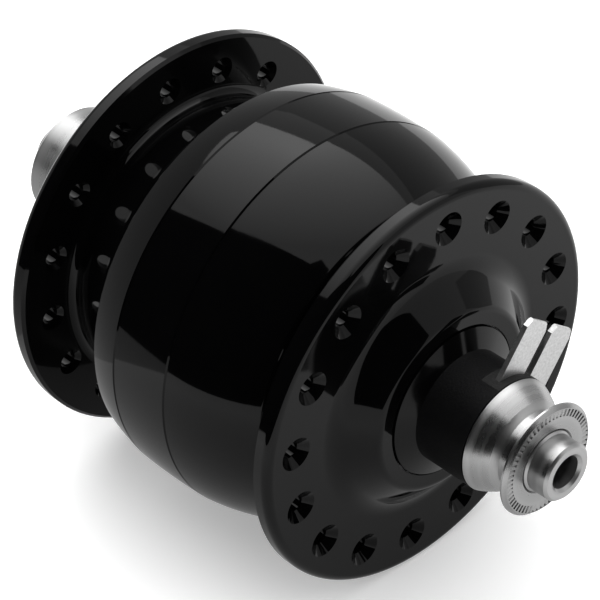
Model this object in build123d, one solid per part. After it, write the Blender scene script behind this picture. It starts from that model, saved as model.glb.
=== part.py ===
from build123d import *
import os
from math import radians, sqrt

# Hub dynamo for a bicycle front wheel, in millimetres.
# The axle lies along Y, with the connector side at -Y, and +Z is up.
# The origin is on the axle, midway between the two faces that the fork grips.
# A position is a distance along the axle from that midplane.
# Angles about the axle run from +X toward +Z.

FULL_TURN = 360
EIGHTH_TURN = 45

# Axle
dropout_width = 100.0
axle_end_radius = 4.5
axle_end_length = 3.7
axle_end_chamfer = 0.4
thread_radius = 4.8
skewer_bore_radius = 2.6
bore_chamfer = 0.45
axle_core_radius = 9.2

# Flanges and their spoke holes
flange_radius = 32.0
flange_thickness = 3.1
flange_spacing = 51.3
rim_outer_round = 1.3
rim_inner_chamfer = 0.45
spoke_circle_share = 0.53
spoke_count = 16
spoke_hole_radius = 1.35
spoke_sink_radius = 2.6
first_spoke_angle = 16.3

# Boss on each flange's outer face
boss_foot_radius = 19.3
boss_crest_radius = 14.4
boss_rise = 4.4
boss_foot_round = 5.0
boss_crest_round = 1.6
boss_opening_radius = 12.05
boss_lip_thickness = 3.7

# Neck between flange and drum
neck_radius = 20.3
neck_round = 2.4

# Drum
drum_radius = 31.6
drum_crown_radius = 38.0
drum_shoulder_position = 14.6
drum_shoulder_round = 1.1
drum_wall_rise = 1.9
joint_chamfer = 0.2

# Centre band of the drum and its spigots
band_width = 10.5
spigot_thickness = 1.0
spigot_length = 3.2

# Cavity inside the drum
drum_wall = 3.2
cavity_straight = 11.2
cavity_corner = 1.6
wall_thickness = 2.3
housing_recess_radius = 16.5
housing_depth = 2.6

# Magnet ring
back_iron_thickness = 1.8
magnet_thickness = 2.2
magnet_length = 21.0
pole_count = 26
magnet_fill_share = 0.94
air_gap = 0.4

# Stator
claw_thickness = 1.6
claw_root_thickness = 2.6
claw_root_width = 4.4
claw_tip_width = 2.4
claw_tip_gap = 0.9
claw_plate_thickness = 2.0
claw_plate_spacing = 18.8
core_radius = 12.4
bobbin_wall = 0.8
bobbin_edge = 0.8
coil_depth_below_edge = 0.4
coil_clearance = 0.05

# Bearings
bearing_bore_radius = 7.5
bearing_radius = 14.0
bearing_width = 7.0
race_thickness = 2.1
shield_thickness = 0.5
shield_inset = 0.1
shield_clearance = 0.15
ball_row_clearance = 0.05
ball_row_width = 4.4

# Retaining rings
clip_groove_depth = 0.8
clip_thickness = 1.1
clip_width = 1.5
clip_play = 0.1
clip_opening = 9.0

# Cover rings and shaft seals
cover_running_gap = 0.3
cover_edge = 0.9
cover_rise = 1.3
cover_sink = 0.2
tail_radius = 8.4
seal_width = 2.1
seal_body = 1.6

# Connector sleeve, its insert and the two blades
sleeve_radius = 8.85
sleeve_wall = 1.25
sleeve_end_position = 41.9
sleeve_end_wall = 1.5
insert_half_width = 6.6
insert_depth = 3.4
insert_foot = 5.3
blade_angle = 52.5
blade_width = 4.8
blade_thickness = 0.8
blade_gap = 1.7
blade_reach = 7.9
blade_floor = 0.3
blade_setback = 1.15
blade_tip_length = 1.3
blade_tip_width = 0.6
blade_bevel = 0.2

# Lead strips from the coil to the blades
lead_width = 1.0
lead_thickness = 0.6
lead_gap = 0.3
lead_clearance = 0.15
lead_depth = 6.0
lead_standoff = 1.6
lead_spread_length = 3.6

# Connector side locknut
nut_edge_chamfer = 0.25
nut_cone_radius = 7.1
nut_cone_length = 3.6
nut_cone_bulge = 0.15
nut_neck_radius = 6.2
disc_radius = 8.8
disc_edge = 0.3
disc_back_rise = 0.9
disc_front_chamfer = 0.5
face_chamfer = 0.3

# Serrations of both locknut faces
tooth_count = 60
tooth_inner_radius = 7.05
tooth_length = 1.1
tooth_gap_share = 0.6

# Far side locknut
far_nut_radius = 8.9
far_nut_root_radius = 9.5
far_nut_length = 13.4
far_nut_chamfer = 0.6

# One overrun serves every cut
overrun = 1.0

# Positions along the axle that follow from the sizes above
face_position = dropout_width / 2
axle_end = face_position + axle_end_length
flange_inner = (flange_spacing - flange_thickness) / 2
flange_outer = flange_inner + flange_thickness
boss_crest = flange_outer + boss_rise
bearing_outer_face = boss_crest - boss_lip_thickness
bearing_inner_face = bearing_outer_face - bearing_width
clip_groove_start = bearing_inner_face - clip_thickness - clip_play
housing_face = bearing_inner_face - housing_depth
band_edge = band_width / 2
spigot_end = band_edge + spigot_length
plate_inner = claw_plate_spacing / 2
plate_outer = plate_inner + claw_plate_thickness
claw_tip_position = plate_inner - claw_tip_gap
coil_end = plate_inner - bobbin_wall - coil_clearance
cover_face = boss_crest + cover_sink
cover_top = cover_face + cover_rise
sleeve_cavity_start = bearing_outer_face + sleeve_end_wall
insert_start = sleeve_end_position - insert_depth
blade_face = sleeve_end_position - blade_setback
blade_back = blade_face - blade_thickness

# Radii and widths that follow from fits
spoke_circle_radius = neck_radius + spoke_circle_share * (flange_radius - neck_radius)
cavity_radius = drum_radius - drum_wall
spigot_radius = cavity_radius + spigot_thickness
back_iron_bore = cavity_radius - back_iron_thickness
magnet_bore = back_iron_bore - magnet_thickness
claw_radius = magnet_bore - air_gap
plate_radius = claw_radius - claw_root_thickness
bobbin_radius = plate_radius - bobbin_edge
coil_radius = bobbin_radius - coil_depth_below_edge
bobbin_barrel_radius = core_radius + bobbin_wall
lead_coil_radius = (bobbin_barrel_radius + coil_radius) / 2
inner_race_radius = bearing_bore_radius + race_thickness
outer_race_radius = bearing_radius - race_thickness
cover_radius = boss_opening_radius - cover_running_gap
sleeve_bore_radius = sleeve_radius - sleeve_wall
blade_offset = (blade_width + blade_gap) / 2
lead_offset = (lead_width + lead_gap) / 2
lead_slot_width = 2 * (lead_offset + lead_clearance) + lead_width
lead_half_slot = lead_thickness / 2 + lead_clearance


def crown(position):
    """Radius of the drum's crowned surface at a position."""
    return drum_radius - drum_crown_radius + sqrt(drum_crown_radius**2 - position**2)


def turned(outline, rounds=()):
    """Solid turned about the axle from a closed outline of radius against position.

    Each entry in rounds is a corner of the outline and the radius that rounds it.
    """
    face = make_face(outline)
    for corner, radius in rounds:
        vertex = face.vertices().sort_by_distance(corner)[0]
        face = fillet(vertex, radius)
    return revolve(face, Axis.Y)


def tube(inner_radius, outer_radius, start, end):
    """Plain ring between two radii and two positions."""
    corners = [
        (inner_radius, start),
        (outer_radius, start),
        (outer_radius, end),
        (inner_radius, end),
    ]
    return turned(Polyline(*corners, close=True))


def turn(shape, angle):
    """Shape turned about the axle by an angle from +X toward +Z."""
    return Rot(Y=-angle) * shape


def around(shape, count, start=0):
    """Copies of a shape spread evenly about the axle, from a start angle on."""
    return [turn(shape, start + FULL_TURN / count * step) for step in range(count)]


def on_connector_side(shape):
    """Shape drawn on the far side, mirrored to the connector side."""
    return mirror(shape, Plane.XZ)


def radial_block(start_radius, end_radius, width, start, end):
    """Block along +X between two radii and two positions, centred across the axle."""
    centre = Pos((start_radius + end_radius) / 2, (start + end) / 2, 0)
    return centre * Box(end_radius - start_radius, end - start, width)


def toward_blades(shape):
    """Shape drawn along +X on the far side, set where the blades point."""
    return turn(on_connector_side(shape), blade_angle)


def spoke_hole():
    """Cutter for one spoke hole, countersunk on both faces of the flange."""
    sink = spoke_sink_radius - spoke_hole_radius
    outline = Polyline(
        (0, flange_inner - overrun),
        (spoke_sink_radius + overrun, flange_inner - overrun),
        (spoke_hole_radius, flange_inner + sink),
        (spoke_hole_radius, flange_outer - sink),
        (spoke_sink_radius + overrun, flange_outer + overrun),
        (0, flange_outer + overrun),
        close=True,
    )
    return Pos(spoke_circle_radius, 0, 0) * turned(outline)


def shell_outline():
    """Half section of one flange shell, from the drum's joint out to the boss crest."""
    joint = (crown(band_edge), band_edge)
    shoulder = (crown(drum_shoulder_position), drum_shoulder_position)
    half_way = (band_edge + drum_shoulder_position) / 2
    wall_foot = drum_shoulder_position + drum_wall_rise
    drum_arc = ThreePointArc(joint, (crown(half_way), half_way), shoulder)
    outside = Polyline(
        shoulder,
        (neck_radius, wall_foot),
        (neck_radius, flange_inner),
        (flange_radius, flange_inner),
        (flange_radius, flange_outer),
        (boss_foot_radius, flange_outer),
        (boss_crest_radius, boss_crest),
        (boss_opening_radius, boss_crest),
    )
    inside = Polyline(
        (boss_opening_radius, boss_crest),
        (boss_opening_radius, bearing_outer_face),
        (bearing_radius, bearing_outer_face),
        (bearing_radius, bearing_inner_face),
        (bearing_radius + clip_groove_depth, bearing_inner_face),
        (bearing_radius + clip_groove_depth, clip_groove_start),
        (bearing_radius, clip_groove_start),
        (bearing_radius, housing_face),
        (housing_recess_radius, housing_face),
        (housing_recess_radius, wall_foot - wall_thickness),
        (cavity_radius - cavity_corner, cavity_straight + cavity_corner),
        (cavity_radius, cavity_straight),
        (cavity_radius, spigot_end),
        (spigot_radius, spigot_end),
        (spigot_radius, band_edge),
        joint,
    )
    return [drum_arc, outside, inside]


def rim_at(shape, radius, position):
    """Circular edge of a turned shape at a radius and position."""
    return shape.edges().filter_by(GeomType.CIRCLE).sort_by_distance((radius, position, 0))[0]


def flange_shell(first_angle):
    """One half of the rotating shell, with its flange, neck, drum half and boss."""
    wall_foot = drum_shoulder_position + drum_wall_rise
    rounds = [
        ((crown(drum_shoulder_position), drum_shoulder_position), drum_shoulder_round),
        ((neck_radius, wall_foot), neck_round),
        ((neck_radius, flange_inner), neck_round),
        ((flange_radius, flange_outer), rim_outer_round),
        ((boss_foot_radius, flange_outer), boss_foot_round),
        ((boss_crest_radius, boss_crest), boss_crest_round),
    ]
    shell = turned(shell_outline(), rounds)
    shell = chamfer(rim_at(shell, crown(band_edge), band_edge), joint_chamfer)
    shell = chamfer(rim_at(shell, flange_radius, flange_inner), rim_inner_chamfer)
    return shell - around(spoke_hole(), spoke_count, first_angle)


def center_band():
    """Crowned band round the middle of the drum, with a spigot into each shell."""
    edge = crown(band_edge)
    crown_arc = ThreePointArc((edge, -band_edge), (drum_radius, 0), (edge, band_edge))
    rest = Polyline(
        (edge, band_edge),
        (spigot_radius, band_edge),
        (spigot_radius, spigot_end),
        (cavity_radius, spigot_end),
        (cavity_radius, -spigot_end),
        (spigot_radius, -spigot_end),
        (spigot_radius, -band_edge),
        (edge, -band_edge),
    )
    band = turned([crown_arc, rest])
    return chamfer([rim_at(band, edge, side * band_edge) for side in (-1, 1)], joint_chamfer)


def magnets():
    """Magnet blocks round the inside of the back iron ring."""
    block_angle = FULL_TURN / pole_count * magnet_fill_share
    middle = (magnet_bore + back_iron_bore) / 2
    section = Pos(middle, 0) * Rectangle(magnet_thickness, magnet_length)
    block = turn(revolve(section, Axis.Y, block_angle), -block_angle / 2)
    return around(block, pole_count)


def claw():
    """One tapered claw pole along +X, from the far plate back toward the other."""
    root = claw_root_width / 2
    tip = claw_tip_width / 2
    shape = Polyline(
        (plate_outer, -root),
        (plate_inner, -root),
        (-claw_tip_position, -tip),
        (-claw_tip_position, tip),
        (plate_inner, root),
        (plate_outer, root),
        close=True,
    )
    blank = extrude(Plane.YZ * make_face(shape), claw_radius + overrun)
    section = Polyline(
        (claw_radius - claw_thickness, -claw_tip_position),
        (claw_radius, -claw_tip_position),
        (claw_radius, plate_outer),
        (plate_radius - overrun, plate_outer),
        (plate_radius - overrun, plate_inner),
        (plate_radius, plate_inner),
        close=True,
    )
    return blank & turned(section)


def claw_plate(start_angle):
    """Stator plate on the far side, with every second claw pole round its rim."""
    disc = tube(axle_core_radius, plate_radius, plate_inner, plate_outer)
    return disc.fuse(*around(claw(), pole_count // 2, start_angle))


def lead_slot():
    """Cutter for the passage of both leads out of the coil."""
    inner = lead_coil_radius - lead_half_slot
    outer = lead_coil_radius + lead_half_slot
    return toward_blades(radial_block(inner, outer, lead_slot_width, coil_end, plate_outer + overrun))


def near_claw_plate():
    """Stator plate on the connector side, half a pole pitch round from the other."""
    return on_connector_side(claw_plate(FULL_TURN / pole_count)) - lead_slot()


def coil_bobbin():
    """Spool of the coil, seated on the stator core between the two claw plates."""
    outline = Polyline(
        (core_radius, -plate_inner),
        (bobbin_radius, -plate_inner),
        (bobbin_radius, bobbin_wall - plate_inner),
        (bobbin_barrel_radius, bobbin_wall - plate_inner),
        (bobbin_barrel_radius, plate_inner - bobbin_wall),
        (bobbin_radius, plate_inner - bobbin_wall),
        (bobbin_radius, plate_inner),
        (core_radius, plate_inner),
        close=True,
    )
    return turned(outline) - lead_slot()


def bearing_shields():
    """The two dust shields of the far bearing, held in its outer ring."""
    inner = inner_race_radius + shield_clearance
    starts = (
        bearing_inner_face + shield_inset,
        bearing_outer_face - shield_inset - shield_thickness,
    )
    return [tube(inner, outer_race_radius, start, start + shield_thickness) for start in starts]


def bearing_ball_row():
    """Plain ring in the place of the far bearing's caged balls."""
    middle = (bearing_inner_face + bearing_outer_face) / 2
    return tube(
        inner_race_radius + ball_row_clearance,
        outer_race_radius - ball_row_clearance,
        middle - ball_row_width / 2,
        middle + ball_row_width / 2,
    )


def bearing_clip():
    """Open retaining ring that holds the far bearing in its housing."""
    outer = bearing_radius + clip_groove_depth - clip_play
    end = bearing_inner_face
    start = end - clip_thickness
    ring = tube(outer - clip_width, outer, start, end)
    return ring - radial_block(0, outer + overrun, clip_opening, start - overrun, end + overrun)


def hollow_axle():
    """Stepped hollow axle, with the groove that leads the strips under the bearing."""
    stub_start = face_position + thread_radius - axle_end_radius
    half = Polyline(
        (skewer_bore_radius, 0),
        (axle_core_radius, 0),
        (axle_core_radius, bearing_inner_face),
        (bearing_bore_radius, bearing_inner_face),
        (bearing_bore_radius, bearing_outer_face),
        (thread_radius, bearing_outer_face),
        (thread_radius, face_position),
        (axle_end_radius, stub_start),
        (axle_end_radius, axle_end - axle_end_chamfer),
        (axle_end_radius - axle_end_chamfer, axle_end),
        (skewer_bore_radius + bore_chamfer, axle_end),
        (skewer_bore_radius, axle_end - bore_chamfer),
        close=True,
    )
    far_half = turned(half)
    groove = radial_block(
        lead_depth - lead_half_slot,
        axle_core_radius + overrun,
        lead_slot_width,
        plate_outer,
        bearing_outer_face + overrun,
    )
    return far_half + on_connector_side(far_half) - toward_blades(groove)


def cover_ring():
    """Cover that closes the far boss opening, seated on the spacer's tail."""
    outline = Polyline(
        (tail_radius, cover_face - cover_edge),
        (cover_radius, cover_face - cover_edge),
        (cover_radius, cover_face),
        (sleeve_radius, cover_top),
        (tail_radius, cover_top),
        close=True,
    )
    return turned(outline)


def shaft_seal():
    """Rubber seal on the spacer's tail, its lip flared behind the cover ring."""
    end = cover_face - cover_edge
    start = end - seal_width
    outline = Polyline(
        (tail_radius, start),
        (tail_radius + seal_body, start),
        (cover_radius, end),
        (tail_radius, end),
        close=True,
    )
    return turned(outline)


def far_spacer():
    """Black spacer between the far bearing and the far locknut."""
    outline = Polyline(
        (thread_radius, bearing_outer_face),
        (tail_radius, bearing_outer_face),
        (tail_radius, cover_top),
        (sleeve_radius, cover_top),
        (sleeve_radius, face_position - far_nut_length),
        (thread_radius, face_position - far_nut_length),
        close=True,
    )
    return turned(outline)


def insert_blank(outer_radius):
    """Block that fills the notch in the sleeve's end, out to a radius."""
    width = 2 * insert_half_width
    return toward_blades(
        radial_block(insert_foot, outer_radius, width, insert_start, sleeve_end_position)
    )


def connector_sleeve():
    """Black sleeve on the connector side that houses the leads and the insert."""
    outline = Polyline(
        (thread_radius, bearing_outer_face),
        (tail_radius, bearing_outer_face),
        (tail_radius, cover_top),
        (sleeve_radius, cover_top),
        (sleeve_radius, sleeve_end_position),
        (sleeve_bore_radius, sleeve_end_position),
        (sleeve_bore_radius, sleeve_cavity_start),
        (thread_radius, sleeve_cavity_start),
        close=True,
    )
    sleeve = on_connector_side(turned(outline))
    passage = radial_block(
        0,
        lead_depth + lead_half_slot,
        lead_slot_width,
        bearing_outer_face - overrun,
        sleeve_cavity_start + overrun,
    )
    return sleeve - insert_blank(sleeve_radius + overrun) - toward_blades(passage)


def connector_insert():
    """Insulating insert in the sleeve's end, slotted for the blades and their leads."""
    rounding = on_connector_side(tube(0, sleeve_radius, insert_start, sleeve_end_position))
    block = insert_blank(sleeve_radius) & rounding
    blades = [blade_strip(side) for side in (-1, 1)]
    leads = [lead_strip(side) for side in (-1, 1)]
    return block - blades - leads


def blade_outline():
    """Flat shape of a blade along +X, its tip cut to a blunt point."""
    half = blade_width / 2
    foot = insert_foot + blade_floor
    tip = sleeve_radius + blade_reach
    return Polyline(
        (foot, -half),
        (tip - blade_tip_length, -half),
        (tip, blade_tip_width - half),
        (tip, half - blade_tip_width),
        (tip - blade_tip_length, half),
        (foot, half),
        close=True,
    )


def blade_strip(side):
    """One blade in its place, before its tip is bevelled."""
    strip = extrude(Plane.XZ * make_face(blade_outline()), blade_thickness)
    return toward_blades(Pos(0, blade_face, side * blade_offset) * strip)


def connector_blade(side):
    """Flat metal blade that a plug slides on, with a bevelled tip."""
    strip = extrude(Plane.XZ * make_face(blade_outline()), blade_thickness)
    tip_edges = strip.edges().filter_by(Axis.Z).sort_by(Axis.X)[-2:]
    strip = chamfer(tip_edges, blade_bevel)
    return toward_blades(Pos(0, blade_face, side * blade_offset) * strip)


def lead_strip(side):
    """Flat copper lead from the coil, through the axle's groove, to its blade."""
    half = lead_thickness / 2
    turn_position = plate_outer + lead_standoff
    spread_start = sleeve_cavity_start + lead_thickness
    spread_end = spread_start + lead_spread_length
    rise = Polyline(
        (lead_coil_radius - half, coil_end),
        (lead_coil_radius + half, coil_end),
        (lead_coil_radius + half, turn_position + half),
        (lead_depth + half, turn_position + half),
        (lead_depth + half, spread_start),
        (lead_depth - half, spread_start),
        (lead_depth - half, turn_position - half),
        (lead_coil_radius - half, turn_position - half),
        close=True,
    )
    near_axle = side * lead_offset
    at_blade = side * blade_offset
    fan = Polyline(
        (spread_start, near_axle - lead_width / 2),
        (spread_end, at_blade - lead_width / 2),
        (blade_back, at_blade - lead_width / 2),
        (blade_back, at_blade + lead_width / 2),
        (spread_end, at_blade + lead_width / 2),
        (spread_start, near_axle + lead_width / 2),
        close=True,
    )
    run = Pos(0, 0, near_axle) * extrude(make_face(rise), lead_width / 2, both=True)
    spread = Pos(lead_depth, 0, 0) * extrude(Plane.YZ * make_face(fan), half, both=True)
    return toward_blades(run + spread)


def serrations():
    """Cutters for the radial grooves between the teeth of the far dropout face."""
    gap = tooth_inner_radius * radians(FULL_TURN / tooth_count) * tooth_gap_share
    side = gap / sqrt(2)
    bar = Rot(X=EIGHTH_TURN) * Box(tooth_length, side, side)
    groove = Pos(tooth_inner_radius + tooth_length / 2, face_position, 0) * bar
    return around(groove, tooth_count)


def connector_locknut():
    """Turned locknut of the connector side: a cone, a neck and a serrated disc."""
    start = sleeve_end_position
    cone_start = (sleeve_radius, start + nut_edge_chamfer)
    cone_end = (nut_cone_radius, start + nut_cone_length)
    cone_middle = (
        (cone_start[0] + cone_end[0]) / 2 + nut_cone_bulge,
        (cone_start[1] + cone_end[1]) / 2,
    )
    step_end = cone_end[1] + nut_cone_radius - nut_neck_radius
    disc_back = face_position - disc_front_chamfer - disc_edge
    cone = ThreePointArc(cone_start, cone_middle, cone_end)
    rest = Polyline(
        cone_end,
        (nut_neck_radius, step_end),
        (nut_neck_radius, disc_back - disc_back_rise),
        (disc_radius, disc_back),
        (disc_radius, face_position - disc_front_chamfer),
        (disc_radius - disc_front_chamfer, face_position),
        (thread_radius + face_chamfer, face_position),
        (thread_radius, face_position - face_chamfer),
        (thread_radius, start),
        (sleeve_radius - nut_edge_chamfer, start),
        cone_start,
    )
    return on_connector_side(turned([cone, rest]) - serrations())


def far_locknut():
    """Turned locknut of the far side, a slightly tapered barrel with a serrated face."""
    start = face_position - far_nut_length
    outline = Polyline(
        (thread_radius, start),
        (sleeve_radius, start),
        (far_nut_root_radius, start + far_nut_root_radius - sleeve_radius),
        (far_nut_radius, face_position - far_nut_chamfer),
        (far_nut_radius - far_nut_chamfer, face_position),
        (thread_radius + face_chamfer, face_position),
        (thread_radius, face_position - face_chamfer),
        close=True,
    )
    return turned(outline) - serrations()


def both_sides(name, shape):
    """A far side piece and its mirror image, named for their sides."""
    shapes = shape if isinstance(shape, list) else [shape]
    return {
        f"far_{name}": shapes,
        f"near_{name}": [on_connector_side(each) for each in shapes],
    }


def build_parts():
    """Every piece of the hub by its name."""
    half_spoke_pitch = FULL_TURN / spoke_count / 2
    half_iron = magnet_length / 2
    parts = {
        "near_flange_shell": on_connector_side(flange_shell(first_spoke_angle)),
        "far_flange_shell": flange_shell(first_spoke_angle - half_spoke_pitch),
        "center_band": center_band(),
        "back_iron_ring": tube(back_iron_bore, cavity_radius, -half_iron, half_iron),
        "magnets": magnets(),
        "hollow_axle": hollow_axle(),
        "stator_core": tube(axle_core_radius, core_radius, -plate_inner, plate_inner),
        "near_claw_plate": near_claw_plate(),
        "far_claw_plate": claw_plate(0),
        "coil_bobbin": coil_bobbin(),
        "coil_winding": tube(bobbin_barrel_radius, coil_radius, -coil_end, coil_end),
        "signal_lead": lead_strip(1),
        "return_lead": lead_strip(-1),
        "connector_sleeve": connector_sleeve(),
        "connector_insert": connector_insert(),
        "signal_blade": connector_blade(1),
        "return_blade": connector_blade(-1),
        "far_spacer": far_spacer(),
        "near_locknut": connector_locknut(),
        "far_locknut": far_locknut(),
    }
    seat = (bearing_inner_face, bearing_outer_face)
    parts |= both_sides("bearing_outer_ring", tube(outer_race_radius, bearing_radius, *seat))
    parts |= both_sides("bearing_inner_ring", tube(bearing_bore_radius, inner_race_radius, *seat))
    parts |= both_sides("bearing_ball_row", bearing_ball_row())
    parts |= both_sides("bearing_shields", bearing_shields())
    parts |= both_sides("bearing_clip", bearing_clip())
    parts |= both_sides("cover_ring", cover_ring())
    parts |= both_sides("shaft_seal", shaft_seal())
    return parts


os.makedirs("parts", exist_ok=True)
for name, shape in build_parts().items():
    solids = shape if isinstance(shape, list) else [shape]
    export_step(Compound(children=solids), f"parts/{name}.step")
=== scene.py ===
from math import acos, cos, pi, radians, sin, sqrt, tan

import bpy
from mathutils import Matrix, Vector


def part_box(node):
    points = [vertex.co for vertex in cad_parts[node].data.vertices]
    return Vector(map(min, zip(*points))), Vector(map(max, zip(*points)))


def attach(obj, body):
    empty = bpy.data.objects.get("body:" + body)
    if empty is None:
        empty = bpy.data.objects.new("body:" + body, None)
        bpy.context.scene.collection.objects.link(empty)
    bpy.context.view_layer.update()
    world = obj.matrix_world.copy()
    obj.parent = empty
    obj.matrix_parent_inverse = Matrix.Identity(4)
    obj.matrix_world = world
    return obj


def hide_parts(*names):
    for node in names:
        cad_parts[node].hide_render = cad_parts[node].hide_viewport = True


# A hub dynamo in glossy black, with bright turned locknuts and flat connector blades.
# The axle lies along Y, the connector side is at -Y and +Z is up; sizes are in metres.

bl_info = {
    "name": "Hub dynamo",
    "version": (1, 0, 0),
    "blender": (4, 5, 0),
    "location": "3D View > Sidebar > Hub dynamo",
    "description": "Dresses a bicycle hub dynamo and sets up its studio",
    "category": "Object",
}

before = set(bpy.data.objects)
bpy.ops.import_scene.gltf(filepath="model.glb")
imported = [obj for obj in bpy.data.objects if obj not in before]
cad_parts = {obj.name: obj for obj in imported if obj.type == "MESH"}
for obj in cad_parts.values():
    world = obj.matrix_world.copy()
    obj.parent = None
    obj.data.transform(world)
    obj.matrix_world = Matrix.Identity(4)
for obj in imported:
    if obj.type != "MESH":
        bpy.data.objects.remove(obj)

FLOOR_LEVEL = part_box("near_flange_shell")[0][2]
MM = 0.001
MERGE_DISTANCE = 0.000001

# How finely the turned pieces are drawn, and the angle below which their faces are smooth.
SPIN_STEPS = 180
DRILL_STEPS = 40
CROWN_STEPS = 14
BAND_STEPS = 8
ROUND_STEPS = 9
SMOOTH_ANGLE = 28
LEAST_SHELL_FACES = 5000

# Refraction of the coatings, low so that their mirror images are as dim as in the photo.
COATING_IOR = 1.245
MATTE_IOR = 1.165

# Sizes of the turned shells and the band in mm; places are measured from the hub's middle.
# The crown's points end short of the shoulder, by this share of the shoulder's round.
SHOULDER_SHARE = 1.2
DRUM_RADIUS = 31.6
CROWN_RADIUS = 38.0
JOINT_PLACE = 5.25
JOINT_CHAMFER = 0.2
BAND_RISE = 0.12
SPIGOT_RADIUS = 29.4
SPIGOT_END = 8.45
CAVITY_RADIUS = 28.4
CAVITY_STRAIGHT = 10.8
CAVITY_CORNER = 2.2
CAVITY_END = 14.2
HOUSING_RADIUS = 16.5
HOUSING_FACE = 18.3
CLIP_GROOVE_RADIUS = 14.8
CLIP_GROOVE_START = 19.7
BEARING_RADIUS = 14.0
BEARING_INNER_FACE = 20.9
BEARING_OUTER_FACE = 27.9
BOSS_OPENING_RADIUS = 12.05
BOSS_CREST_RADIUS = 14.4
BOSS_CREST = 31.6
BOSS_CREST_ROUND = 1.6
BOSS_FOOT_RADIUS = 19.3
BOSS_FOOT_ROUND = 5.0
FLANGE_RADIUS = 32.0
FLANGE_INNER = 24.1
FLANGE_OUTER = 27.2
RIM_CHAMFER = 0.45
RIM_ROUND = 1.3
SPOKE_CIRCLE = 26.501
SPOKE_COUNT = 16
SPOKE_HOLE = 1.35
DRILL_OVERRUN = 1.0

# For each shell: its side of the hub, its shoulder's place and round, the corners of its
# groove (radius, place, round), the angle of its first spoke hole and its sinks' radius.
SHELLS = {
    "near": (-1, 19.7, 0.9, ((20.3, 21.0, 1.2), (20.3, FLANGE_INNER, 1.6)), 16.3, 2.6),
    "far": (1, 10.8, 0.5, ((25.6, 14.2, 5.0), (22.0, FLANGE_INNER, 1.6)), 5.05, 2.05),
}

# Surface effects: the part of a noise's range that shows as smears, how near to a speck's
# middle its edge lies, how rare specks are and the scale of their patches, the scale of
# slow patterns as a share of the fine one's, and what a wire's arch is drawn from.
SMEAR_SPAN = (0.42, 0.72)
SPECK_EDGE = (0.05, 0.02)
SPECK_RARITY = 0.62
SPECK_PATCH_SCALE = 130.0
STREAK_SHARE = 0.12
TONE_SHARE = 0.08
WIRE_ARCH = 0.26

# How much darker or paler than its own colour each kind of surface gets in its pattern.
GLOSS_DARK_SHARE = 0.55
MATTE_PALE_SHARE = 3.5
TURNED_DARK_SHARE = 0.6
PLAIN_DARK_SHARE = 0.45
FLOOR_DARK_SHARE = 0.99

# What smears, specks and lathe streaks add to the roughness of each kind of surface.
GLOSS_SMEAR = 0.035
GLOSS_SPECK = 0.25
MATTE_SMEAR = 0.12
TURNED_SMEAR = 0.06
PLAIN_SMEAR = 0.15
STREAK_SPAN = (0.3, 0.7)
STREAK_SMOOTHER = 0.05
STREAK_ROUGHER = 0.07

# The studio, in metres and degrees. The softbox is brightest over one place and dims from
# there outwards; both are shares of the lamp's height. The far ends of the black flags
# over and beside the hub are slanted.
SOFTBOX_PLACE = (0.101, 0.13)
SOFTBOX_SIZE = (1.6, 2.3)
SOFTBOX_TURN = 16
BRIGHTEST_SHARES = (0.5, 0.6, 1.0)
DIM_LEVEL_SHARE = 0.31
DIM_REACH_SHARE = 1.12
FLAG_EDGE = -0.457
FLAG_SLANT = 13.7
WALL_LEVEL = 0.6
# The table cloth glows least under the hub, a painted shadow of the hub, seen only in
# reflections.
HUB_SHADOW_LEVELS = (0.11, 1.35)
HUB_SHADOW_REACH = 0.11
FLOOR_SIZE = 8.0
FLOOR_GAP = 0.00005
IMAGE_SENSOR = 36
NEAR_CLIP = 0.01


def put(tree, kind, inputs=None, **settings):
    """A new shader node of this kind, with its settings made and its inputs set or linked."""
    made = tree.nodes.new("ShaderNode" + kind)
    for name, value in settings.items():
        setattr(made, name, value)
    for name, value in (inputs or {}).items():
        if isinstance(value, bpy.types.NodeSocket):
            tree.links.new(value, made.inputs[name])
        else:
            made.inputs[name].default_value = value
    return made


def calculate(tree, operation, first, second=0.0, third=0.0):
    """Result of a math node."""
    return put(tree, "Math", {0: first, 1: second, 2: third}, operation=operation).outputs[0]


def noise(tree, place, scale, detail=2.0, roughness=0.5):
    """Plain value of a noise pattern."""
    inputs = {"Vector": place, "Scale": scale, "Detail": detail, "Roughness": roughness}
    return put(tree, "TexNoise", inputs).outputs["Fac"]


def span(tree, value, low, high, to_low=0.0, to_high=1.0):
    """A value taken from one range to another and kept inside it."""
    inputs = {0: value, 1: low, 2: high, 3: to_low, 4: to_high}
    return put(tree, "MapRange", inputs).outputs[0]


def scaled(tone, share):
    """A colour made darker or paler by a share."""
    return tuple(share * channel for channel in tone)


def shade(tree, mask, low, high):
    """A colour between two, by a mask."""
    made = put(tree, "Mix", {0: mask, 6: (*low, 1), 7: (*high, 1)}, data_type="RGBA")
    return made.outputs[2]


def effect(name, inputs, outputs):
    """An empty effect group with its named inputs and outputs."""
    group = bpy.data.node_groups.new(name, "ShaderNodeTree")
    for label, kind, default in inputs:
        socket = group.interface.new_socket(label, in_out="INPUT", socket_type=kind)
        if default is not None:
            socket.default_value = default
    for label in outputs:
        group.interface.new_socket(label, in_out="OUTPUT", socket_type="NodeSocketFloat")
    start = group.nodes.new("NodeGroupInput")
    end = group.nodes.new("NodeGroupOutput")
    return group, start.outputs, end.inputs


def apply_effect(tree, name, **inputs):
    """Outputs of an effect group placed in a material."""
    made = tree.nodes.new("ShaderNodeGroup")
    made.node_tree = bpy.data.node_groups[name]
    for label, value in inputs.items():
        socket = made.inputs[label.replace("_", " ")]
        if isinstance(value, bpy.types.NodeSocket):
            tree.links.new(value, socket)
        else:
            socket.default_value = value
    return made.outputs


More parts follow.
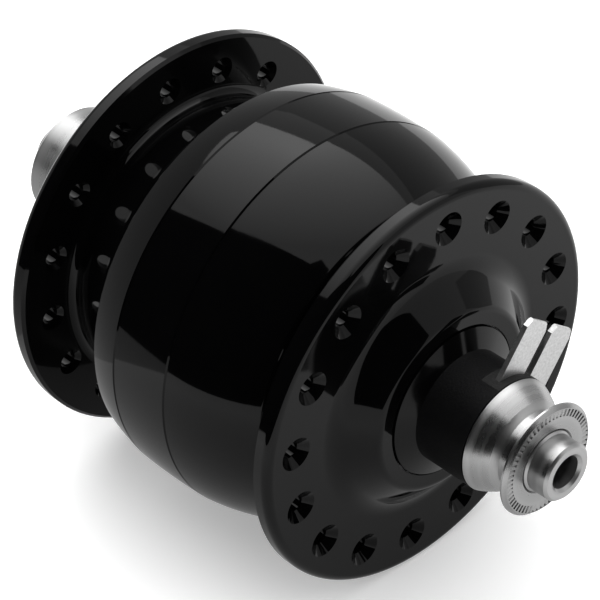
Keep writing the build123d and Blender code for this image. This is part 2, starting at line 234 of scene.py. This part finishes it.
def make_turning_lines():
    """Fine lines that a lathe tool leaves round the axle, on barrels and faces alike."""
    inputs = [
        ("Place", "NodeSocketVector", None),
        ("Pitch", "NodeSocketFloat", 0.0002),
    ]
    group, given, result = effect("Turning lines", inputs, ["Height", "Streak"])
    parts = put(group, "SeparateXYZ", {0: given["Place"]}).outputs
    across = calculate(group, "MULTIPLY", parts[0], parts[0])
    square = calculate(group, "MULTIPLY_ADD", parts[2], parts[2], across)
    radius = calculate(group, "SQRT", square)
    along = calculate(group, "SUBTRACT", radius, calculate(group, "ABSOLUTE", parts[1]))
    step = calculate(group, "DIVIDE", along, given["Pitch"])
    wide = calculate(group, "MULTIPLY", step, STREAK_SHARE)
    line = {"W": step, "Scale": 1.0, "Detail": 3.0}
    streak = {"W": wide, "Scale": 1.0, "Detail": 1.0}
    fine = put(group, "TexNoise", line, noise_dimensions="1D")
    band = put(group, "TexNoise", streak, noise_dimensions="1D")
    group.links.new(fine.outputs["Fac"], result["Height"])
    group.links.new(band.outputs["Fac"], result["Streak"])


def make_handling():
    """Faint smears from hands, and a few specks of dust."""
    inputs = [
        ("Place", "NodeSocketVector", None),
        ("Smear size", "NodeSocketFloat", 0.012),
        ("Speck size", "NodeSocketFloat", 0.0016),
    ]
    group, given, result = effect("Handling", inputs, ["Smear", "Speck"])
    smear_scale = calculate(group, "DIVIDE", 1.0, given["Smear size"])
    cloud = noise(group, given["Place"], smear_scale, detail=5.0, roughness=0.62)
    group.links.new(span(group, cloud, *SMEAR_SPAN), result["Smear"])
    speck_scale = calculate(group, "DIVIDE", 1.0, given["Speck size"])
    cells = put(group, "TexVoronoi", {"Vector": given["Place"], "Scale": speck_scale})
    dot = span(group, cells.outputs["Distance"], *SPECK_EDGE)
    patches = noise(group, given["Place"], SPECK_PATCH_SCALE)
    rare = calculate(group, "GREATER_THAN", patches, SPECK_RARITY)
    group.links.new(calculate(group, "MULTIPLY", dot, rare), result["Speck"])


def make_grain():
    """Irregular fine grain of a moulded, sintered or etched surface."""
    inputs = [
        ("Place", "NodeSocketVector", None),
        ("Size", "NodeSocketFloat", 0.0002),
    ]
    group, given, result = effect("Grain", inputs, ["Height", "Tone"])
    scale = calculate(group, "DIVIDE", 1.0, given["Size"])
    fine = noise(group, given["Place"], scale, detail=2.0, roughness=0.6)
    broad_scale = calculate(group, "MULTIPLY", scale, TONE_SHARE)
    broad = noise(group, given["Place"], broad_scale, detail=3.0, roughness=0.55)
    group.links.new(fine, result["Height"])
    group.links.new(broad, result["Tone"])


def make_winding():
    """Wire lying side by side round the axle."""
    inputs = [
        ("Place", "NodeSocketVector", None),
        ("Wire", "NodeSocketFloat", 0.0006),
    ]
    group, given, result = effect("Winding", inputs, ["Height"])
    parts = put(group, "SeparateXYZ", {0: given["Place"]}).outputs
    turns = calculate(group, "DIVIDE", parts[1], given["Wire"])
    cell = calculate(group, "SUBTRACT", calculate(group, "FRACT", turns), 0.5)
    square = calculate(group, "MULTIPLY", cell, cell)
    arch = calculate(group, "SQRT", calculate(group, "SUBTRACT", WIRE_ARCH, square))
    group.links.new(arch, result["Height"])


def start_material(name):
    """An empty material with its shader and the object's own coordinates."""
    material = bpy.data.materials.new(name)
    material.use_nodes = True
    tree = material.node_tree
    shader = tree.nodes["Principled BSDF"]
    place = put(tree, "TexCoord").outputs["Object"]
    return material, tree, shader, place


def raise_surface(tree, shader, height, strength, distance):
    """Feeds a height into the shader's normal."""
    inputs = {"Strength": strength, "Distance": distance, "Height": height}
    bump = put(tree, "Bump", inputs)
    tree.links.new(bump.outputs[0], shader.inputs["Normal"])


def gloss_black(name, tone, roughness):
    """Deep gloss black coating with a faint orange peel, smears and specks of dust."""
    material, tree, shader, place = start_material(name)
    handling = apply_effect(tree, "Handling", Place=place)
    grain = apply_effect(tree, "Grain", Place=place, Size=0.0011)
    dark = scaled(tone, GLOSS_DARK_SHARE)
    tree.links.new(shade(tree, grain["Tone"], dark, tone), shader.inputs["Base Color"])
    shiny = span(tree, handling["Smear"], 0.0, 1.0, roughness, roughness + GLOSS_SMEAR)
    dusty = calculate(tree, "MULTIPLY_ADD", handling["Speck"], GLOSS_SPECK, shiny)
    tree.links.new(dusty, shader.inputs["Roughness"])
    shader.inputs["IOR"].default_value = COATING_IOR
    raise_surface(tree, shader, grain["Height"], strength=0.012, distance=0.0001)
    return material


def matte_black(name, tone, roughness, size):
    """Moulded, sintered or anodised matte surface with a fine grain, mostly black."""
    material, tree, shader, place = start_material(name)
    handling = apply_effect(tree, "Handling", Place=place, Smear_size=0.006)
    grain = apply_effect(tree, "Grain", Place=place, Size=size)
    pale = scaled(tone, MATTE_PALE_SHARE)
    tree.links.new(shade(tree, grain["Height"], tone, pale), shader.inputs["Base Color"])
    rough = span(tree, handling["Smear"], 0.0, 1.0, roughness, roughness + MATTE_SMEAR)
    tree.links.new(rough, shader.inputs["Roughness"])
    shader.inputs["IOR"].default_value = MATTE_IOR
    raise_surface(tree, shader, grain["Height"], strength=0.6, distance=0.0001)
    return material


def turned_metal(name, tone, roughness, pitch, depth):
    """Bright metal turned on a lathe, with fine lines round the axle."""
    material, tree, shader, place = start_material(name)
    lines = apply_effect(tree, "Turning lines", Place=place, Pitch=pitch)
    handling = apply_effect(tree, "Handling", Place=place, Smear_size=0.004)
    dark = scaled(tone, TURNED_DARK_SHARE)
    tree.links.new(shade(tree, lines["Streak"], dark, tone), shader.inputs["Base Color"])
    smoothest, roughest = roughness - STREAK_SMOOTHER, roughness + STREAK_ROUGHER
    streaky = span(tree, lines["Streak"], *STREAK_SPAN, smoothest, roughest)
    rough = calculate(tree, "MULTIPLY_ADD", handling["Smear"], TURNED_SMEAR, streaky)
    tree.links.new(rough, shader.inputs["Roughness"])
    shader.inputs["Metallic"].default_value = 1.0
    raise_surface(tree, shader, lines["Height"], strength=0.5, distance=depth)
    return material


def plain_metal(name, tone, roughness, size):
    """Stamped, drawn or ground metal with a mottled tone."""
    material, tree, shader, place = start_material(name)
    grain = apply_effect(tree, "Grain", Place=place, Size=size)
    handling = apply_effect(tree, "Handling", Place=place, Smear_size=0.003)
    dark = scaled(tone, PLAIN_DARK_SHARE)
    tree.links.new(shade(tree, grain["Height"], dark, tone), shader.inputs["Base Color"])
    rough = span(tree, handling["Smear"], 0.0, 1.0, roughness, roughness + PLAIN_SMEAR)
    tree.links.new(rough, shader.inputs["Roughness"])
    shader.inputs["Metallic"].default_value = 1.0
    raise_surface(tree, shader, grain["Height"], strength=0.3, distance=0.00003)
    return material


def wound_copper(name):
    """Enamelled copper wire, lying turn beside turn."""
    material, tree, shader, place = start_material(name)
    turns = apply_effect(tree, "Winding", Place=place)
    grain = apply_effect(tree, "Grain", Place=place, Size=0.0006)
    coppers = shade(tree, grain["Tone"], (0.42, 0.13, 0.05), (0.62, 0.24, 0.1))
    tree.links.new(coppers, shader.inputs["Base Color"])
    shader.inputs["Metallic"].default_value = 0.9
    shader.inputs["Roughness"].default_value = 0.3
    shader.inputs["Coat Weight"].default_value = 0.5
    raise_surface(tree, shader, turns["Height"], strength=0.9, distance=0.0003)
    return material


def dress(material, *names):
    """Puts a material on every slot of the named nodes."""
    for name in names:
        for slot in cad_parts[name].material_slots:
            slot.material = material


def card(name, place, size, turn, material):
    """A flat studio card, turned in degrees, that lights and reflections meet unseen."""
    turn = tuple(radians(angle) for angle in turn)
    bpy.ops.mesh.primitive_plane_add(size=1.0, location=place, rotation=turn)
    made = bpy.context.object
    made.name = name
    made.scale = (*size, 1)
    bpy.ops.object.transform_apply(location=True, rotation=True, scale=True)
    made.data.materials.append(material)
    made.visible_camera = False
    return made


def flag(name, place, size, turn, material):
    """A card that only shows in reflections, as a black flag or a grey wall does."""
    made = card(name, place, size, turn, material)
    made.visible_diffuse = False
    made.visible_shadow = False


def seen_directly(tree):
    """One where the camera sees a surface itself, or its mirror image, and zero elsewhere."""
    path = put(tree, "LightPath").outputs
    seen = calculate(tree, "MAXIMUM", path["Is Camera Ray"], path["Is Glossy Ray"])
    return calculate(tree, "MAXIMUM", seen, path["Is Transmission Ray"])


def even_cloth(name, tone, glow):
    """Cloth without any shine, of one tone and one glow."""
    material, _, shader, _ = start_material(name)
    shader.inputs["Base Color"].default_value = (tone, tone, tone, 1)
    shader.inputs["Specular IOR Level"].default_value = 0.0
    shader.inputs["Emission Color"].default_value = (1, 1, 1, 1)
    shader.inputs["Emission Strength"].default_value = glow
    return material


def glowing_cloth(name, inner, outer, middle, reach):
    """Cloth that glows at one level in its middle and at another from its reach outwards."""
    material, tree, shader, place = start_material(name)
    gap = put(tree, "VectorMath", {0: place, 1: middle}, operation="DISTANCE").outputs["Value"]
    level = span(tree, gap, 0.0, reach, inner, outer)
    tree.links.new(level, shader.inputs["Emission Strength"])
    shader.inputs["Emission Color"].default_value = (1, 1, 1, 1)
    shader.inputs["Base Color"].default_value = (0, 0, 0, 1)
    shader.inputs["Specular IOR Level"].default_value = 0.0
    return material


def start_edit():
    """Edit mode on the active object's vertices, with nothing selected."""
    bpy.ops.object.mode_set(mode="EDIT")
    bpy.ops.mesh.select_mode(type="VERT")
    bpy.ops.mesh.select_all(action="DESELECT")


def rounded(corners, steps):
    """Outline through corners of (radius, position, round), each round drawn in steps."""
    outline = []
    for index, (radius, position, fillet) in enumerate(corners):
        here = Vector((radius, position))
        if not fillet:
            outline.append(here)
            continue
        before = (Vector(corners[index - 1][:2]) - here).normalized()
        after = (Vector(corners[(index + 1) % len(corners)][:2]) - here).normalized()
        half = acos(max(-1.0, min(1.0, before.dot(after)))) / 2
        middle = here + (before + after).normalized() * (fillet / sin(half))
        first = here + before * (fillet / tan(half)) - middle
        sweep = first.angle_signed(here + after * (fillet / tan(half)) - middle)
        for step in range(steps + 1):
            angle = -sweep * step / steps
            turned = Vector((
                first.x * cos(angle) - first.y * sin(angle),
                first.x * sin(angle) + first.y * cos(angle),
            ))
            outline.append(middle + turned)
    return outline


def turn_solid(name, outline, steps):
    """A solid turned round Y from a closed outline of (radius, position) points."""
    start = outline[0]
    bpy.ops.mesh.primitive_plane_add(size=MM, location=(start.x * MM, start.y * MM, 0))
    made = bpy.context.object
    made.name = name
    bpy.ops.object.transform_apply(location=True, rotation=True, scale=True)
    start_edit()
    bpy.ops.mesh.select_all(action="SELECT")
    bpy.ops.mesh.merge(type="CENTER")
    for here, there in zip(outline, outline[1:] + outline[:1]):
        step = (there - here) * MM
        bpy.ops.mesh.extrude_region_move(TRANSFORM_OT_translate={"value": (step.x, step.y, 0)})
    bpy.ops.mesh.select_all(action="SELECT")
    bpy.ops.mesh.remove_doubles(threshold=MERGE_DISTANCE)
    bpy.ops.mesh.spin(steps=steps, angle=2 * pi, center=(0, 0, 0), axis=(0, 1, 0))
    bpy.ops.mesh.select_all(action="SELECT")
    bpy.ops.mesh.remove_doubles(threshold=MERGE_DISTANCE)
    bpy.ops.mesh.normals_make_consistent(inside=False)
    bpy.ops.object.mode_set(mode="OBJECT")
    return made


def finish_piece(piece, body, *nodes):
    """Dresses and smooths a piece, and puts it on its body in place of its CAD nodes."""
    piece.data.materials.clear()
    piece.data.materials.append(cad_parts[nodes[0]].material_slots[0].material)
    bpy.ops.object.select_all(action="DESELECT")
    bpy.context.view_layer.objects.active = piece
    piece.select_set(True)
    bpy.ops.object.shade_smooth_by_angle(angle=radians(SMOOTH_ANGLE))
    piece.modifiers.new("Even", "WEIGHTED_NORMAL").keep_sharp = True
    bpy.ops.object.modifier_apply(modifier="Even")
    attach(piece, body)
    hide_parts(*nodes)


def crown(position):
    """Radius of the crowned drum at a place along the axle, in mm."""
    return DRUM_RADIUS - CROWN_RADIUS + sqrt(CROWN_RADIUS**2 - position**2)


class HubSettings(bpy.types.PropertyGroup):
    """Colours and finish of the hub"""

    coating: bpy.props.FloatVectorProperty(
        name="Coating",
        description="Colour of the gloss black shell",
        subtype="COLOR",
        default=(0.0013, 0.0013, 0.0014),
    )
    gloss: bpy.props.FloatProperty(
        name="Gloss roughness",
        description="Roughness of the clean gloss coating",
        default=0.045,
        min=0.0,
        max=1.0,
        subtype="FACTOR",
    )
    aluminium: bpy.props.FloatVectorProperty(
        name="Aluminium",
        description="Colour of the turned locknuts",
        subtype="COLOR",
        default=(0.42, 0.42, 0.42),
    )
    line_pitch: bpy.props.FloatProperty(
        name="Turning pitch",
        description="Spacing of the lathe lines on the locknuts",
        default=0.00022,
        unit="LENGTH",
    )


class StudioSettings(bpy.types.PropertyGroup):
    """Camera, lights and floor of the studio"""

    azimuth: bpy.props.FloatProperty(
        name="Azimuth",
        description="Direction of the camera round the hub",
        default=-0.7679727,
        subtype="ANGLE",
    )
    elevation: bpy.props.FloatProperty(
        name="Elevation",
        description="Height of the camera above the horizon",
        default=0.6630706,
        subtype="ANGLE",
    )
    distance: bpy.props.FloatProperty(
        name="Distance",
        description="Distance from the camera to the hub's centre",
        default=0.5122794,
        unit="LENGTH",
    )
    slide: bpy.props.FloatVectorProperty(
        name="Slide",
        description="How far the camera is slid right and up",
        size=2,
        default=(0.000458006, 0.000164449),
        unit="LENGTH",
    )
    focal_share: bpy.props.FloatProperty(
        name="Focal share",
        description="Focal length as a share of the image's width",
        default=5.829128,
    )
    key_radiance: bpy.props.FloatProperty(
        name="Key level",
        description="Brightness of the large softbox, 1 being white",
        default=5.3,
        min=0.0,
    )
    lamp_height: bpy.props.FloatProperty(
        name="Lamp height",
        description="Height of the softbox above the hub's axle",
        default=1.0,
        unit="LENGTH",
    )
    sky: bpy.props.FloatProperty(
        name="Fill level",
        description="Brightness of the light from all round, 1 being white",
        default=0.5,
        min=0.0,
    )
    floor: bpy.props.FloatVectorProperty(
        name="Floor",
        description="Colour of the floor",
        subtype="COLOR",
        default=(0.93, 0.93, 0.93),
    )
    floor_lift: bpy.props.FloatProperty(
        name="Floor lift",
        description="What is added to the lit floor to bring it to white",
        default=0.3,
        min=0.0,
    )


class HUB_OT_effects(bpy.types.Operator):
    """Build the shared surface effects"""

    bl_idname = "hub.effects"
    bl_label = "Surface effects"

    def execute(self, context):
        make_turning_lines()
        make_handling()
        make_grain()
        make_winding()
        return {"FINISHED"}


class HUB_OT_shell(bpy.types.Operator):
    """Coat the rotating shell and its cover rings"""

    bl_idname = "hub.shell"
    bl_label = "Shell"

    def execute(self, context):
        settings = context.scene.hub
        tone = tuple(settings.coating)
        dress(
            gloss_black("Gloss black shell", tone, settings.gloss),
            "near_flange_shell",
            "far_flange_shell",
            "center_band",
        )
        dress(
            gloss_black("Gloss black cover", tone, settings.gloss + 0.05),
            "near_cover_ring",
            "far_cover_ring",
        )
        return {"FINISHED"}


class HUB_OT_flanges(bpy.types.Operator):
    """Turn the two flange shells and drill their spoke holes"""

    bl_idname = "hub.flanges"
    bl_label = "Flange shells"

    def execute(self, context):
        for side, (way, shoulder, shoulder_round, groove, first_angle, sink) in SHELLS.items():
            shell = self.turn_shell(side, way, shoulder, shoulder_round, groove)
            holes = self.drill_set(context, side, way, first_angle, sink)
            cut = shell.modifiers.new("Holes", "BOOLEAN")
            cut.object = holes
            cut.solver = "EXACT"
            bpy.ops.object.select_all(action="DESELECT")
            bpy.context.view_layer.objects.active = shell
            bpy.ops.object.modifier_apply(modifier="Holes")
            bpy.data.objects.remove(holes)
            if len(shell.data.polygons) < LEAST_SHELL_FACES:
                raise RuntimeError("a flange shell lost its faces when its holes were cut")
            finish_piece(shell, "drum", side + "_flange_shell")
        return {"FINISHED"}

    def turn_shell(self, side, way, shoulder, shoulder_round, groove):
        """A shell without its spoke holes: drum, groove, flange, boss, seats and cavity."""
        arc_start = JOINT_PLACE + JOINT_CHAMFER
        reach = shoulder - SHOULDER_SHARE * shoulder_round - arc_start
        arc = [arc_start + reach * step / CROWN_STEPS for step in range(CROWN_STEPS + 1)]
        corners = [(crown(JOINT_PLACE) - JOINT_CHAMFER, JOINT_PLACE, 0)]
        corners += [(crown(place), place, 0) for place in arc]
        corners += [
            (crown(shoulder), shoulder, shoulder_round),
            *groove,
            (FLANGE_RADIUS - RIM_CHAMFER, FLANGE_INNER, 0),
            (FLANGE_RADIUS, FLANGE_INNER + RIM_CHAMFER, 0),
            (FLANGE_RADIUS, FLANGE_OUTER, RIM_ROUND),
            (BOSS_FOOT_RADIUS, FLANGE_OUTER, BOSS_FOOT_ROUND),
            (BOSS_CREST_RADIUS, BOSS_CREST, BOSS_CREST_ROUND),
            (BOSS_OPENING_RADIUS, BOSS_CREST, 0),
            (BOSS_OPENING_RADIUS, BEARING_OUTER_FACE, 0),
            (BEARING_RADIUS, BEARING_OUTER_FACE, 0),
            (BEARING_RADIUS, BEARING_INNER_FACE, 0),
            (CLIP_GROOVE_RADIUS, BEARING_INNER_FACE, 0),
            (CLIP_GROOVE_RADIUS, CLIP_GROOVE_START, 0),
            (BEARING_RADIUS, CLIP_GROOVE_START, 0),
            (BEARING_RADIUS, HOUSING_FACE, 0),
            (HOUSING_RADIUS, HOUSING_FACE, 0),
            (HOUSING_RADIUS, CAVITY_END, 0),
            (CAVITY_RADIUS - CAVITY_CORNER, CAVITY_STRAIGHT + CAVITY_CORNER, 0),
            (CAVITY_RADIUS, CAVITY_STRAIGHT, 0),
            (CAVITY_RADIUS, SPIGOT_END, 0),
            (SPIGOT_RADIUS, SPIGOT_END, 0),
            (SPIGOT_RADIUS, JOINT_PLACE, 0),
        ]
        points = rounded(corners, ROUND_STEPS)
        outline = [Vector((point.x, way * point.y)) for point in points]
        return turn_solid(side + "_shell_form", outline, SPIN_STEPS)

    def drill_set(self, context, side, way, first_angle, sink):
        """The spoke holes of one flange as a single object of separate drills."""
        # The sink is on the side that the photo shows: outwards on the near flange.
        sunk, plain = FLANGE_INNER, FLANGE_OUTER
        if way < 0:
            sunk, plain = plain, sunk
        outwards = 1 if sunk > plain else -1
        overrun = outwards * DRILL_OVERRUN
        profile = [
            (0, sunk + overrun),
            (sink + DRILL_OVERRUN, sunk + overrun),
            (SPOKE_HOLE, sunk - outwards * (sink - SPOKE_HOLE)),
            (SPOKE_HOLE, plain - overrun),
            (0, plain - overrun),
        ]
        outline = [Vector((radius, way * place)) for radius, place in profile]
        drill = turn_solid(side + "_drill", outline, DRILL_STEPS)
        start_edit()
        bpy.ops.mesh.select_all(action="SELECT")
        turn = radians(first_angle)
        reach = SPOKE_CIRCLE * MM
        bpy.ops.transform.translate(value=(reach * cos(turn), 0, reach * sin(turn)))
        bpy.ops.object.mode_set(mode="OBJECT")
        copies = [drill]
        for step in range(1, SPOKE_COUNT):
            copy = drill.copy()
            copy.data = drill.data.copy()
            context.scene.collection.objects.link(copy)
            copy.rotation_euler = (0, -2 * pi * step / SPOKE_COUNT, 0)
            copies.append(copy)
        bpy.ops.object.select_all(action="DESELECT")
        for copy in copies:
            copy.select_set(True)
        bpy.context.view_layer.objects.active = drill
        bpy.ops.object.join()
        return drill


class HUB_OT_band(bpy.types.Operator):
    """Turn the band round the middle of the drum"""

    bl_idname = "hub.band"
    bl_label = "Center band"

    def execute(self, context):
        edge = crown(JOINT_PLACE)
        face = JOINT_PLACE - JOINT_CHAMFER
        shares = [step / BAND_STEPS for step in range(-BAND_STEPS, BAND_STEPS + 1)]
        corners = [(edge - JOINT_CHAMFER, -JOINT_PLACE, 0)]
        corners += [(edge + BAND_RISE * (1 - share**2), face * share, 0) for share in shares]
        corners += [
            (edge - JOINT_CHAMFER, JOINT_PLACE, 0),
            (SPIGOT_RADIUS, JOINT_PLACE, 0),
            (SPIGOT_RADIUS, SPIGOT_END, 0),
            (CAVITY_RADIUS, SPIGOT_END, 0),
            (CAVITY_RADIUS, -SPIGOT_END, 0),
            (SPIGOT_RADIUS, -SPIGOT_END, 0),
            (SPIGOT_RADIUS, -JOINT_PLACE, 0),
        ]
        band = turn_solid("band_form", rounded(corners, ROUND_STEPS), SPIN_STEPS)
        finish_piece(band, "drum", "center_band")
        return {"FINISHED"}


class HUB_OT_axle(bpy.types.Operator):
    """Finish the axle, its locknuts and its spacers"""

    bl_idname = "hub.axle"
    bl_label = "Axle and locknuts"

    def execute(self, context):
        settings = context.scene.hub
        bright = tuple(settings.aluminium)
        turned = turned_metal(
            "Turned aluminium", bright, roughness=0.27, pitch=settings.line_pitch, depth=0.00002
        )
        dress(turned, "near_locknut", "far_locknut")
        steel = turned_metal(
            "Bright axle steel",
            (0.45, 0.45, 0.45),
            roughness=0.32,
            pitch=0.00016,
            depth=0.000012,
        )
        dress(steel, "hollow_axle")
        sleeve = matte_black(
            "Matte black sleeve", (0.0012, 0.0012, 0.0013), roughness=0.46, size=0.00035
        )
        dress(sleeve, "connector_sleeve", "far_spacer")
        return {"FINISHED"}


class HUB_OT_connector(bpy.types.Operator):
    """Finish the lamp connector"""

    bl_idname = "hub.connector"
    bl_label = "Connector"

    def execute(self, context):
        insert = matte_black(
            "Moulded insert", (0.007, 0.007, 0.007), roughness=0.5, size=0.0003
        )
        dress(insert, "connector_insert")
        blades = plain_metal(
            "Tinned blades", (0.72, 0.72, 0.72), roughness=0.3, size=0.00042
        )
        dress(blades, "signal_blade", "return_blade")
        return {"FINISHED"}


class HUB_OT_generator(bpy.types.Operator):
    """Finish the generator inside the drum"""

    bl_idname = "hub.generator"
    bl_label = "Generator"

    def execute(self, context):
        ring = plain_metal("Back iron", (0.42, 0.42, 0.43), roughness=0.42, size=0.0005)
        dress(ring, "back_iron_ring")
        magnet = matte_black(
            "Sintered magnet", (0.05, 0.05, 0.052), roughness=0.6, size=0.0003
        )
        dress(magnet, "magnets")
        iron = plain_metal("Pressed iron", (0.36, 0.36, 0.37), roughness=0.48, size=0.0004)
        dress(iron, "stator_core", "near_claw_plate", "far_claw_plate")
        dress(wound_copper("Enamelled copper"), "coil_winding", "signal_lead", "return_lead")
        nylon = matte_black("Natural nylon", (0.2, 0.19, 0.16), roughness=0.5, size=0.0004)
        dress(nylon, "coil_bobbin")
        return {"FINISHED"}


class HUB_OT_bearings(bpy.types.Operator):
    """Finish the two bearings and what holds them"""

    bl_idname = "hub.bearings"
    bl_label = "Bearings"

    def execute(self, context):
        race = turned_metal(
            "Ground bearing steel",
            (0.62, 0.62, 0.63),
            roughness=0.16,
            pitch=0.0001,
            depth=0.000003,
        )
        shield = plain_metal("Pressed shields", (0.5, 0.5, 0.51), roughness=0.3, size=0.0003)
        rubber = matte_black("Seal rubber", (0.02, 0.02, 0.02), roughness=0.7, size=0.0003)
        for side in ("near", "far"):
            dress(race, side + "_bearing_outer_ring", side + "_bearing_inner_ring")
            dress(race, side + "_bearing_ball_row", side + "_bearing_clip")
            dress(shield, side + "_bearing_shields")
            dress(rubber, side + "_shaft_seal")
        return {"FINISHED"}


class HUB_OT_studio(bpy.types.Operator):
    """Set up the camera, the floor, the cards and the lamps"""

    bl_idname = "hub.studio"
    bl_label = "Studio"

    def execute(self, context):
        settings = context.scene.hub_studio
        self.set_camera(context, settings)
        self.lay_floor(settings)
        self.set_lamps(settings)
        self.set_world(context, settings)
        return {"FINISHED"}

    def set_camera(self, context, settings):
        """The camera at the photograph's angle, looking at the hub's middle."""
        a, e = settings.azimuth, settings.elevation
        back = Vector((sin(a) * cos(e), -cos(a) * cos(e), sin(e)))
        right = Vector((cos(a), sin(a), 0))
        up = back.cross(right)
        place = back * settings.distance + right * settings.slide[0] + up * settings.slide[1]
        bpy.ops.object.camera_add(location=place)
        camera = bpy.context.object
        camera.name = "Camera"
        camera.rotation_euler = (-back).to_track_quat("-Z", "Y").to_euler()
        camera.data.sensor_width = IMAGE_SENSOR
        camera.data.lens = settings.focal_share * camera.data.sensor_width
        camera.data.clip_start = NEAR_CLIP
        context.scene.camera = camera

    def lay_floor(self, settings):
        """A pale floor that is lifted to white where it is lit, and keeps the shadow."""
        material, tree, shader, place = start_material("Studio floor")
        tone = tuple(settings.floor)
        cloud = noise(tree, place, scale=3.0)
        colour = shade(tree, cloud, scaled(tone, FLOOR_DARK_SHARE), tone)
        tree.links.new(colour, shader.inputs["Base Color"])
        shader.inputs["Roughness"].default_value = 0.8
        shader.inputs["Specular IOR Level"].default_value = 0.1
        lift = calculate(tree, "MULTIPLY", seen_directly(tree), settings.floor_lift)
        tree.links.new(lift, shader.inputs["Emission Strength"])
        shader.inputs["Emission Color"].default_value = (1, 1, 1, 1)
        ground = (0, 0, FLOOR_LEVEL - FLOOR_GAP)
        bpy.ops.mesh.primitive_plane_add(size=FLOOR_SIZE, location=ground)
        floor = bpy.context.object
        floor.name = "Floor"
        bpy.ops.object.transform_apply(location=True, rotation=True, scale=True)
        floor.data.materials.append(material)

    def set_lamps(self, settings):
        """The softbox over the hub, and the flags, walls and painted-shadow table that it
        mirrors.
        """
        lamp, key = settings.lamp_height, settings.key_radiance
        brightest = tuple(share * lamp for share in BRIGHTEST_SHARES)
        dim = DIM_LEVEL_SHARE * key
        cloth = glowing_cloth("Softbox cloth", key, dim, brightest, DIM_REACH_SHARE * lamp)
        turn = (0, 0, SOFTBOX_TURN)
        card("Overhead softbox", (*SOFTBOX_PLACE, lamp), SOFTBOX_SIZE, turn, cloth)

        black = even_cloth("Black card", tone=0.002, glow=0.0)
        grey = even_cloth("Grey wall", tone=0.0, glow=WALL_LEVEL)
        middle = (0, 0, FLOOR_LEVEL)
        # Dim under the hub and bright outwards: a painted shadow of the hub on the floor.
        table = glowing_cloth("Painted shadow cloth", *HUB_SHADOW_LEVELS, middle, HUB_SHADOW_REACH)
        slant = radians(FLAG_SLANT)
        length, width = 1.2, 3.6
        over_x = FLAG_EDGE - length / 2 * cos(slant)
        over_y = -length / 2 * sin(slant)
        over_place = (over_x, over_y, lamp - 0.01)
        # Name, place, size, turn in degrees and cloth of each.
        flags = (
            ("Overhead flag", over_place, (length, width), (0, 0, FLAG_SLANT), black),
            ("Camera flag", (-1.03, -1.01, lamp - 0.015), (1.2, 1.6), (0, 0, -14), black),
            ("Left flag", (-0.5, 0.05, 0.47), (1.02, 1.46), (0, 90, FLAG_SLANT), black),
            ("Front flag", (-0.2, -0.5, 0.25), (0.6, 0.6), (90, 0, 0), black),
            ("Back wall", (0.3, 1.6, 0.6), (3.6, 1.3), (90, 0, 0), grey),
            ("Right wall", (1.6, 0.3, 0.6), (1.3, 3.0), (0, 90, 0), grey),
            ("Table flag", (-0.44, -0.335, FLOOR_LEVEL + 0.001), (0.6, 0.93), (0, 0, 0), black),
            (
                "Far table flag",
                (-0.593, 0.274, FLOOR_LEVEL + 0.0012),
                (0.85, 0.42),
                (0, 0, -43.5),
                black,
            ),
            ("Painted shadow cloth", (0, 0, FLOOR_LEVEL + 0.0005), (6, 6), (0, 0, 0), table),
            ("Far table cloth", (-1.5, 1.55, FLOOR_LEVEL + 0.0007), (3, 3), (0, 0, 0), grey),
        )
        for each in flags:
            flag(*each)

    def set_world(self, context, settings):
        """Light from all round, which is plain white where it is seen."""
        world = bpy.data.worlds.new("Studio")
        context.scene.world = world
        world.use_nodes = True
        tree = world.node_tree
        level = span(tree, seen_directly(tree), 0.0, 1.0, settings.sky, 1.0)
        tree.links.new(level, tree.nodes["Background"].inputs["Strength"])
        tree.nodes["Background"].inputs["Color"].default_value = (1, 1, 1, 1)
        context.scene.view_settings.view_transform = "Standard"


STEPS = (
    HUB_OT_effects,
    HUB_OT_shell,
    HUB_OT_flanges,
    HUB_OT_band,
    HUB_OT_axle,
    HUB_OT_connector,
    HUB_OT_generator,
    HUB_OT_bearings,
    HUB_OT_studio,
)


class HUB_PT_panel(bpy.types.Panel):
    """Steps that dress the hub, in order"""

    bl_idname = "HUB_PT_panel"
    bl_label = "Hub dynamo"
    bl_space_type = "VIEW_3D"
    bl_region_type = "UI"
    bl_category = "Hub dynamo"

    def draw(self, context):
        for step in STEPS:
            self.layout.operator(step.bl_idname)
        for settings in (context.scene.hub, context.scene.hub_studio):
            box = self.layout.box()
            for name in settings.bl_rna.properties.keys():
                if name not in ("rna_type", "name"):
                    box.prop(settings, name)


CLASSES = (HubSettings, StudioSettings, *STEPS, HUB_PT_panel)


def register():
    for each in CLASSES:
        bpy.utils.register_class(each)
    bpy.types.Scene.hub = bpy.props.PointerProperty(type=HubSettings)
    bpy.types.Scene.hub_studio = bpy.props.PointerProperty(type=StudioSettings)


def unregister():
    del bpy.types.Scene.hub_studio
    del bpy.types.Scene.hub
    for each in reversed(CLASSES):
        bpy.utils.unregister_class(each)


def main():
    """Runs every step in order."""
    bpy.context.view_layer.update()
    register()
    bpy.ops.object.select_all(action="DESELECT")
    for step in STEPS:
        group, name = step.bl_idname.split(".")
        getattr(getattr(bpy.ops, group), name)()


if __name__ == "__main__":
    main()
